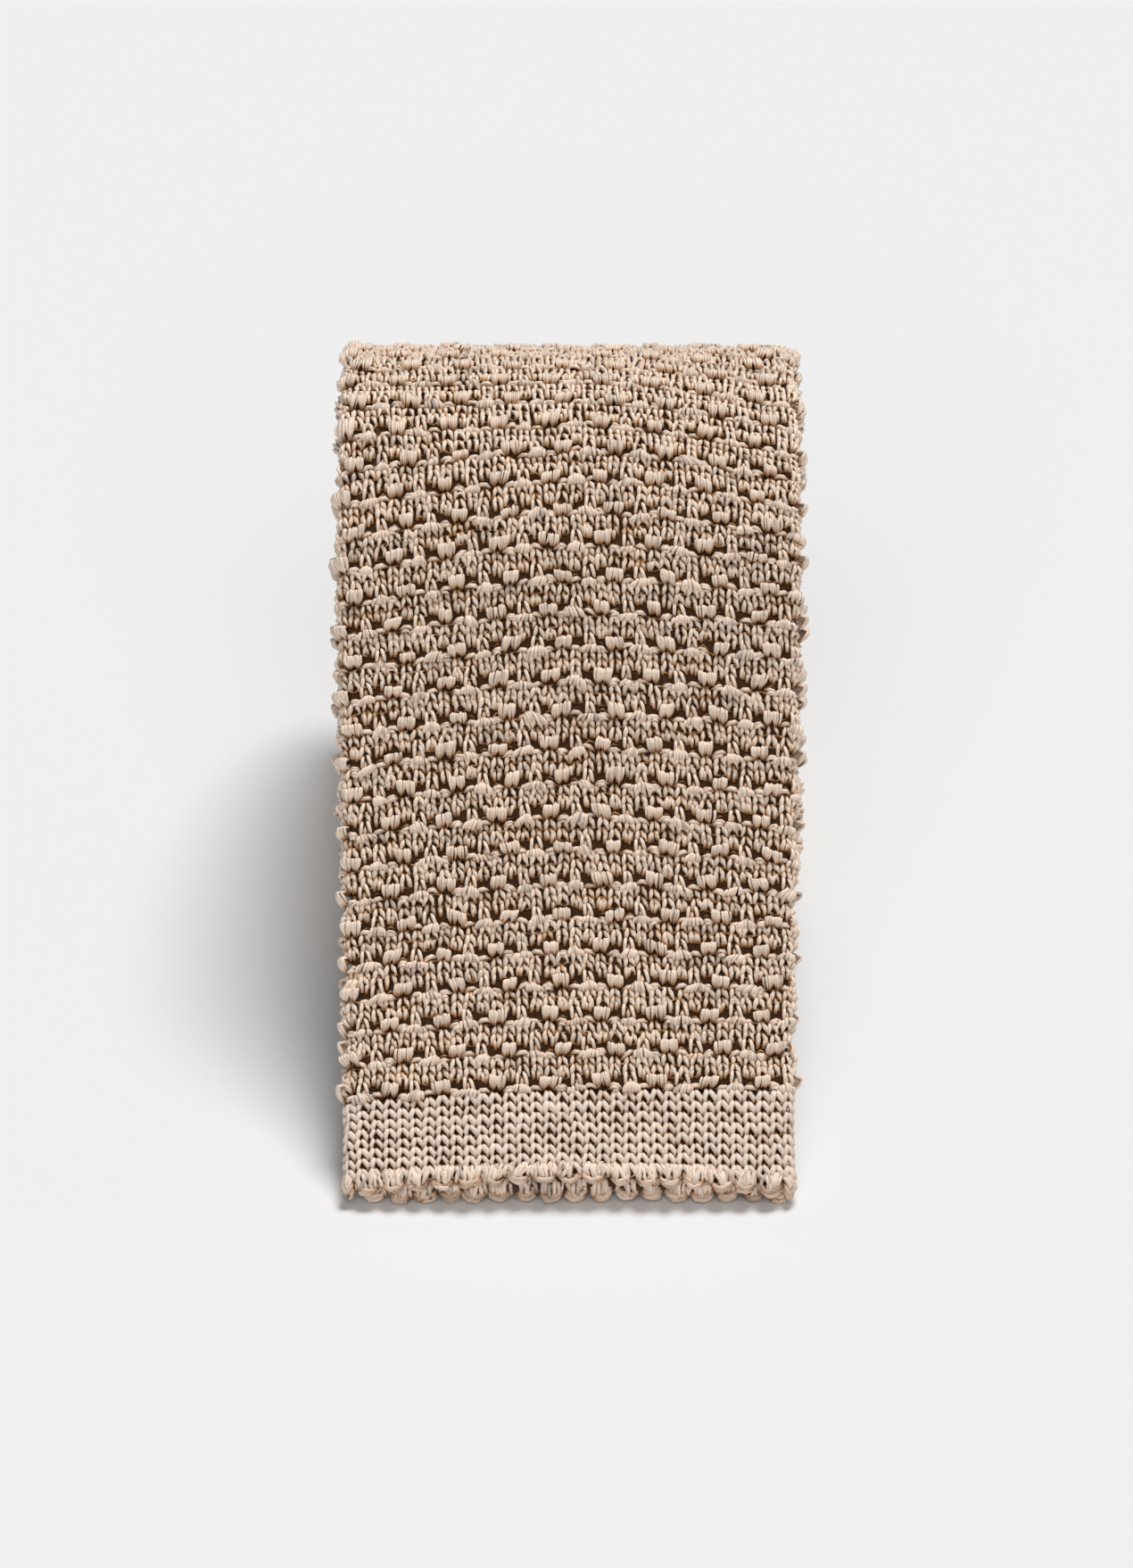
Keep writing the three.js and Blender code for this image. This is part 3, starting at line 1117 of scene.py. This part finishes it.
# The run in front, where every strand shows.
front = {
    "rows": (0, 27),
    "reach": 33.0,
    "wales": 38,
    "courses": {**plainCourse, "sides": 5, "samples": 8},
    "blocks": {"strands": 4, "sides": 5, "knots": 6, "radius": 0.2},
    "columns": {"sides": 6, "knots": 6, "radius": 0.28},
    "stubs": {"sides": 5, "knots": 4, "radius": 0.3},
    "arcs": {
        "reach": 0.9, "low": 0.3, "high": 0.62, "lofts": (-0.55, -0.15),
        "sides": 4, "knots": 4, "radius": 0.34,
    },
    "strayShare": 0.35,
    "strays": {
        "reach": 0.9, "low": 0.9, "high": 1.3, "lofts": (-0.95, -0.7),
        "sides": 4, "knots": 3, "radius": 0.17,
    },
    "cushions": {"strands": 6, "sides": 5, "knots": 5, "radius": 0.25},
    "slackShifts": (-0.25, 0.0, 0.25),
    "slackReach": 0.8,
    "slack": {
        "low": 0.05, "high": 0.3, "lofts": (-0.5, 0.2),
        "sides": 4, "knots": 4, "radius": 0.2,
    },
}

frontStart = -front["wales"] / 2 * stitch["pitch"]


def knitFront(rng):
    rows = range(*front["rows"])
    half = len(rows) // 2
    pieces = []
    for label, some in (("low", rows[:half]), ("high", rows[half:])):
        heap = YarnHeap()
        layCourses(heap, plainMiddles(some), frontStart, front["wales"], rng, front["courses"])
        pieces.append(heap.build("blade_stitches_" + label, stitchYarn))
    places = patternPlaces(rows, -front["reach"], front["reach"], rng)
    heap = YarnHeap()
    addBlocks(heap, places["block"], rng, **front["blocks"])
    pieces.append(heap.build("blade_blocks", blockYarn))
    heap = YarnHeap()
    addColumns(heap, places["column"], rng, **front["columns"])
    holes = np.concatenate([places["left"], places["right"]])
    addStubs(heap, holes, rng, **front["stubs"])
    addBridges(heap, holes, rng, **front["arcs"])
    strays = holes[rng.random(len(holes)) < front["strayShare"]]
    addBridges(heap, strays, rng, **front["strays"])
    pieces.append(heap.build("blade_columns", stitchYarn))
    heap = YarnHeap()
    addCushions(heap, places["column"], rng, **front["cushions"])
    for shift in front["slackShifts"]:
        moved = places["slack"] + (0, shift)
        addBridges(heap, moved, rng, front["slackReach"] - abs(shift), **front["slack"])
    pieces.append(heap.build("blade_slack_strands", softYarn))
    return pieces


# The outer turn of the roll, with fewer and thicker strands.
roll = {
    "rows": (27, 66),
    "courses": {**plainCourse, "sides": 3, "samples": 4},
    "blocks": {"strands": 2, "sides": 4, "knots": 5, "radius": 0.3},
    "columns": {"sides": 4, "knots": 4, "radius": 0.24},
    "cushions": {"strands": 2, "sides": 5, "knots": 4, "radius": 0.44},
    "upperArcs": {
        "reach": 0.6, "low": 2.2, "high": 2.1, "lofts": (-0.7, 0.0),
        "sides": 4, "knots": 3, "radius": 0.36,
    },
    "lowerArcs": {
        "reach": 0.9, "low": 0.4, "high": 0.7, "lofts": (-0.6, -0.1),
        "sides": 3, "knots": 3, "radius": 0.34,
    },
}


def knitRoll(rng):
    rows = range(*roll["rows"])
    pieces = []
    heap = YarnHeap()
    layCourses(heap, plainMiddles(rows), frontStart, front["wales"], rng, roll["courses"])
    pieces.append(heap.build("blade_stitches_roll", stitchYarn))
    places = patternPlaces(rows, -front["reach"], front["reach"], rng)
    heap = YarnHeap()
    addBlocks(heap, places["block"], rng, **roll["blocks"])
    pieces.append(heap.build("blade_blocks_roll", blockYarn))
    heap = YarnHeap()
    addColumns(heap, places["column"], rng, **roll["columns"])
    addCushions(heap, places["column"], rng, **roll["cushions"])
    holes = np.concatenate([places["left"], places["right"]])
    addBridges(heap, holes, rng, **roll["upperArcs"])
    addBridges(heap, holes, rng, **roll["lowerArcs"])
    pieces.append(heap.build("blade_columns_roll", stitchYarn))
    return pieces


# The back layer of the run, which is seen from below and behind.
underside = {
    "rows": (0, 15),
    "reach": (34, 96),
    "wales": 34,
    "courses": {**plainCourse, "sides": 3, "samples": 4},
    "blocks": {"strands": 2, "sides": 4, "knots": 5, "radius": 0.3},
    "columns": {"sides": 3, "knots": 4, "radius": 0.24},
    "cushions": {"strands": 2, "sides": 4, "knots": 4, "radius": 0.42},
}


# The start and the pitch of the back layer's wales, which fill what those of the front leave.
def backWales(middles):
    wholeWay = 4 * halfWidthAt(np.asarray(middles)) + 2 * pi * sideRadius
    left = wholeWay - front["wales"] * stitch["pitch"]
    return -frontStart, left / underside["wales"]


def knitUnderside(rng):
    rows = range(*underside["rows"])
    heap = YarnHeap()
    middles = plainMiddles(rows)
    start, pitch = backWales(middles)
    layCourses(heap, middles, start, underside["wales"], rng, underside["courses"], pitch)
    places = patternPlaces(rows, *underside["reach"], rng)
    addBlocks(heap, places["block"], rng, **underside["blocks"])
    addColumns(heap, places["column"], rng, **underside["columns"])
    addCushions(heap, places["column"], rng, **underside["cushions"])
    return heap.build("blade_underside", stitchYarn)


# The inner turns of the roll show their sides alone.
innerSides = {
    "wales": 3,
    "overlap": 0.4,
    "courseEnd": 1,
    "rowEnd": 3,
    "courses": {**plainCourse, "sides": 3, "samples": 4},
    "blocks": {"strands": 2, "sides": 3, "knots": 4, "radius": 0.32},
    "columns": {"sides": 3, "knots": 4, "radius": 0.27},
}


def knitSides(name, firstRow, lastRow, rng):
    heap = YarnHeap()
    rows = range(firstRow, lastRow)
    middles = np.array(plainMiddles(rows))
    middles = middles[middles < tie["length"] - innerSides["courseEnd"]]
    wales = innerSides["wales"]
    for hand in (-1, 1):
        side = halfWidthAt(middles) - innerSides["overlap"]
        start = side if hand > 0 else -side - wales * stitch["pitch"]
        layCourses(heap, middles, start, wales, rng, innerSides["courses"])
        kinds = (("blocks", addBlocks, hand > 0), ("columns", addColumns, hand < 0))
        for kind, addKind, odd in kinds:
            bases = hemEnd + tie["rowPitch"] * np.array([r for r in rows if r % 2 == odd])
            bases = bases[bases < tie["length"] - innerSides["rowEnd"]]
            across = hand * (halfWidthAt(bases) + pi * sideRadius / 2)
            addKind(heap, np.stack([across, bases], axis=-1), rng, **innerSides[kind])
    return heap.build(name, stitchYarn)


def rowOf(along):
    return int((along - hemEnd) / tie["rowPitch"])


seed = 11
rng = np.random.default_rng(seed)
bladePieces = knitFront(rng)
print("front of the blade knitted")
bladePieces += knitRoll(rng)
print("roll knitted")
bladePieces.append(knitUnderside(rng))
print("underside of the run knitted")
bladePieces.append(knitSides("blade_sides", roll["rows"][1], rowOf(neckStart), rng))
neckSides = knitSides("neck_sides", rowOf(neckStart), rowOf(tailStart), rng)
tailSides = knitSides("tail_sides", rowOf(tailStart), rowOf(tie["length"]), rng)
print("sides of the inner turns knitted")

# The hem: plain courses alone, tight and even in front and coarser at the back.

hem = {
    "courses": 8,
    "front": {"half": 1.18, "tuck": 0.18, "radius": 1.2, "jitter": 0.6, "sides": 6, "samples": 10},
    "back": {"half": 1.18, "tuck": 0.18, "radius": 1.0, "jitter": 1.0, "sides": 4, "samples": 6},
}


def knitHem(rng):
    steps = np.arange(hem["courses"]) + 0.5
    middles = tie["scallopLength"] + tie["hemLength"] * steps / hem["courses"]
    heap = YarnHeap()
    layCourses(heap, middles, frontStart, front["wales"], rng, hem["front"])
    pieces = [heap.build("hem_stitches", hemYarn)]
    heap = YarnHeap()
    start, pitch = backWales(middles)
    layCourses(heap, middles, start, underside["wales"], rng, hem["back"], pitch)
    pieces.append(heap.build("hem_stitches_back", hemYarn))
    return pieces


hemPieces = knitHem(rng)
print("hem knitted")

# Scallops: each is a cup of slack strands that turns under, with a fan of strands drawn down over
# it from two columns of stitches.

scallops = {
    "count": 17,
    "backShift": 0.9,
    "lowest": 0.35,
    "sides": 5,
    "sizeSpread": 0.08,
    "twistSpread": 0.3,
    "tone": 0.5,
    "toneSpread": 0.5,
}

cup = {
    "strands": 4,
    "knots": 9,
    "radius": 0.34,
    "radiusSpread": 0.12,
    "thinning": 0.35,
    "firstTurn": 50,
    "turnRange": 100,
    "narrow": 0.3,
    "middle": 2.05,
    "deep": 1.45,
    "endRise": 1.1,
    "bulge": 0.5,
    "flatEnds": 0.6,
    "strandSpread": 0.11,
    "knotSpread": 0.06,
    "shade": 0.2,
    "darkEnds": 0.7,
    "shadeRange": 0.3,
    "endPower": 4,
}

fan = {
    "strands": 8,
    "knots": 7,
    "radius": 0.29,
    "radiusSpread": 0.12,
    "reach": 1.5,
    "closing": 0.5,
    "crossSpread": 0.75,
    "crossAt": 0.35,
    "lobe": 0.35,
    "top": 3.35,
    "length": 2.75,
    "lengthRound": 0.8,
    "base": -0.75,
    "rise": 0.8,
    "riseRound": 0.25,
    "domeRate": 1.15,
    "domePower": 0.9,
    "domeTop": 0.9,
    "domeGrowth": 0.1,
    "strandSpread": 0.09,
    "knotSpread": 0.06,
    "shade": -0.75,
    "shadeRise": 1.2,
    "shadePower": 0.7,
    "shadeRange": 0.25,
    "backShade": 0.9,
    "backFade": 1.4,
}


# Strands are moved as a whole and knot by knot, and none goes below the lowest place.
def loosened(paths, values, rng):
    paths += rng.normal(0, values["strandSpread"], (len(paths), 1, 3))
    paths += rng.normal(0, values["knotSpread"], paths.shape)
    paths[..., 1] = np.maximum(paths[..., 1], scallops["lowest"])
    return paths


def cupPaths(t, width, drop, size, twist, rng):
    strands = cup["strands"]
    paths = np.zeros((strands, len(t), 3))
    for s in range(strands):
        beta = radians(cup["firstTurn"] + cup["turnRange"] * s / (strands - 1))
        wide = width / 2 * (1.0 - cup["narrow"] * sin(beta)) * size[0]
        across = wide * np.sin(t * pi / 2)
        along = -cup["deep"] * sin(beta) * size[1] + cup["endRise"] * np.abs(t) ** 2
        bulge = cup["bulge"] * cos(beta) * (1 - cup["flatEnds"] * t ** 2)
        paths[s, :, 0] = across * cos(twist) - along * sin(twist)
        paths[s, :, 1] = cup["middle"] + drop + along * cos(twist) + across * sin(twist)
        paths[s, :, 2] = -tie["layer"] / 2 + bulge
    return loosened(paths, cup, rng)


def fanPaths(down, drop, size, rng):
    strands = fan["strands"]
    paths = np.zeros((strands, len(down), 3))
    domeTop = fan["domeTop"] + fan["domeGrowth"] * down
    dome = np.clip(fan["domeRate"] * np.sin(pi * down ** fan["domePower"]), 0, domeTop)
    for k in range(strands):
        off = 2 * (k + 0.5) / strands - 1
        lobe = fan["lobe"] * abs(sin(pi * off))
        reach = fan["reach"] - fan["closing"] * down ** 2
        crossing = fan["crossSpread"] * rng.normal() * (down - fan["crossAt"])
        length = (fan["length"] - fan["lengthRound"] * off ** 2) * size[1]
        rise = fan["rise"] + lobe * (1 - down) - fan["riseRound"] * off ** 2
        paths[k, :, 0] = off * reach * size[0] + crossing
        paths[k, :, 1] = fan["top"] + lobe + drop - length * down
        paths[k, :, 2] = fan["base"] + rise * dome
    return loosened(paths, fan, rng)


def layScallops(name, onFront, rng):
    heap = YarnHeap()
    count, sides = scallops["count"], scallops["sides"]
    t = np.linspace(-1, 1, cup["knots"])
    down = np.linspace(0, 1, fan["knots"])
    half = tie["mouthWidth"] / 2 - sideRadius
    width = 2 * half / count
    for c in range(-1, count + 1) if onFront else range(count):
        middle = -half + width * (c + 0.5) + (0.0 if onFront else scallops["backShift"])
        share = min(abs(middle) / half, 1)
        drop = tie["mouthDraw"] * (1 - share ** 2) if onFront else 0.0
        size = 1 + rng.normal(0, scallops["sizeSpread"], 2)
        twist = rng.normal(0, scallops["twistSpread"])
        cupStrands = cupPaths(t, width, drop, size, twist, rng)
        fanStrands = fanPaths(down, drop, size, rng)
        for paths in (cupStrands, fanStrands):
            paths[..., 0] += middle
            if not onFront:
                paths[..., 0] = 2 * half + pi * sideRadius - paths[..., 0]
                paths[..., 2] = -tie["layer"] - paths[..., 2]
        # painted shade: a cup is darker towards its ends, where they turn under, and each strand is
        # darkened by a random share more
        shade = cup["shade"] - cup["darkEnds"] * np.abs(t) ** cup["endPower"]
        shade = shade - cup["shadeRange"] * rng.random((cup["strands"], 1))
        swell = cup["radius"] * (1 - cup["thinning"] * t ** cup["endPower"])
        swell = swell * (1 + rng.normal(0, cup["radiusSpread"], cupStrands.shape[:2]))
        tone = tonesOf(scallops, rng, cup["strands"])
        heap.add(cupStrands, swell, sides, tone, outwards, shade)
        swell = fan["radius"] * (1 + rng.normal(0, fan["radiusSpread"], fanStrands.shape[:2]))
        # painted shade: a fan is dark at its top and its tip and pale between; on the back row its
        # top is darker still, a painted shadow of the front row
        shade = fan["shade"] + fan["shadeRise"] * np.sin(pi * down) ** fan["shadePower"]
        shade = shade + fan["shadeRange"] * rng.random((fan["strands"], 1))
        if not onFront:
            shade = shade - np.clip(fan["backShade"] - fan["backFade"] * down, 0, 1)
        tone = tonesOf(scallops, rng, fan["strands"])
        heap.add(fanStrands, swell, sides, tone, sideways, shade)
    return heap.build(name, softYarn)


scallopsFront = layScallops("scallops_front", True, rng)
scallopsBack = layScallops("scallops_back", False, rng)
print("scallops laid")

# Hand over to the frame

everything = [hemBacking, bladeBacking, neckBacking, tailBacking, scallopsFront, scallopsBack]
for piece in everything + bladePieces + hemPieces + [neckSides, tailSides]:
    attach(piece, "root")
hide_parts("blade")
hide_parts("neck")
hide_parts("tail")
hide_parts("hem_band")
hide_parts("hem_scallops_front")
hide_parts("hem_scallops_back")
